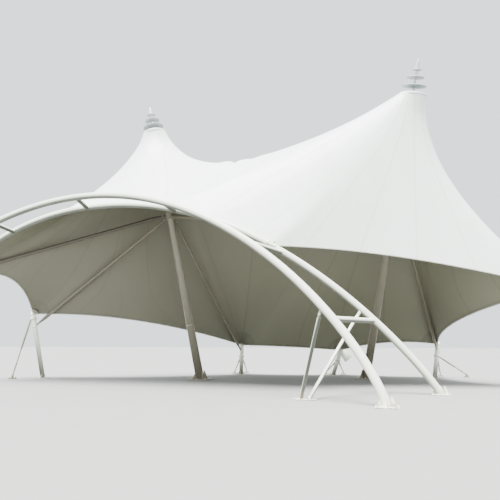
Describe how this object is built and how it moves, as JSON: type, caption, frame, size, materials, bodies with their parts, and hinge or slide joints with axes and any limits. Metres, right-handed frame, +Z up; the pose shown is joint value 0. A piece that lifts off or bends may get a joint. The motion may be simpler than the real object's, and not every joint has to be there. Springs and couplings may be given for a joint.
{
  "type": "tensile membrane dome",
  "caption": "White tensile membrane canopy on raking masts with tiered finials, held along a leaning ladder arch of steel tubes and held down by raking edge posts and tie rods.",
  "frame": {"origin": "centre of the left mast's base plate, on the ground", "axes": "+X runs along the entrance arch towards the second mast, +Y runs from the arch to the back edge, +Z is up"},
  "size_m": [31.87, 14.44, 13.9271],
  "materials": {
    "cloth": "white coated membrane, slightly translucent, satin",
    "painted_steel": "warm white enamel over steel tube, satin",
    "finial_steel": "pale grey painted spun metal",
    "stay_steel": "galvanised tie rods"
  },
  "bodies": {
    "root": {"arch_clamp_left": "painted_steel", "arch_clamp_right": "painted_steel", "arch_prop_left": "painted_steel", "arch_prop_right": "painted_steel", "arch_rung_1": "painted_steel", "arch_rung_2": "painted_steel", "arch_rung_3": "painted_steel", "arch_rung_4": "painted_steel", "arch_rung_5": "painted_steel", "arch_rung_6": "painted_steel", "arch_rung_7": "painted_steel", "arch_tube_front": "painted_steel", "arch_tube_rear": "painted_steel", "finial_left": "finial_steel", "finial_right": "finial_steel", "mast_left": "painted_steel", "mast_right": "painted_steel", "membrane_left_back": "cloth", "membrane_left_front": "cloth", "membrane_left_side": "cloth", "membrane_left_valley": "cloth", "membrane_right_back": "cloth", "membrane_right_edge": "cloth", "membrane_right_front": "cloth", "membrane_right_side": "cloth", "membrane_right_valley": "cloth", "peak_ring_left": "painted_steel", "peak_ring_right": "painted_steel", "post_back_left": "painted_steel", "post_back_mid": "painted_steel", "post_back_right": "painted_steel", "post_side_left": "painted_steel", "post_side_right": "painted_steel", "stays_back_left": "stay_steel", "stays_back_mid": "stay_steel", "stays_back_right": "stay_steel", "stays_side_left": "stay_steel", "stays_side_right": "stay_steel", "strut_left_arch_left": "painted_steel", "strut_left_arch_right": "painted_steel", "strut_left_back": "painted_steel", "strut_left_side": "painted_steel", "strut_right_back": "painted_steel", "strut_right_side": "painted_steel"}
  },
  "joints": []
}
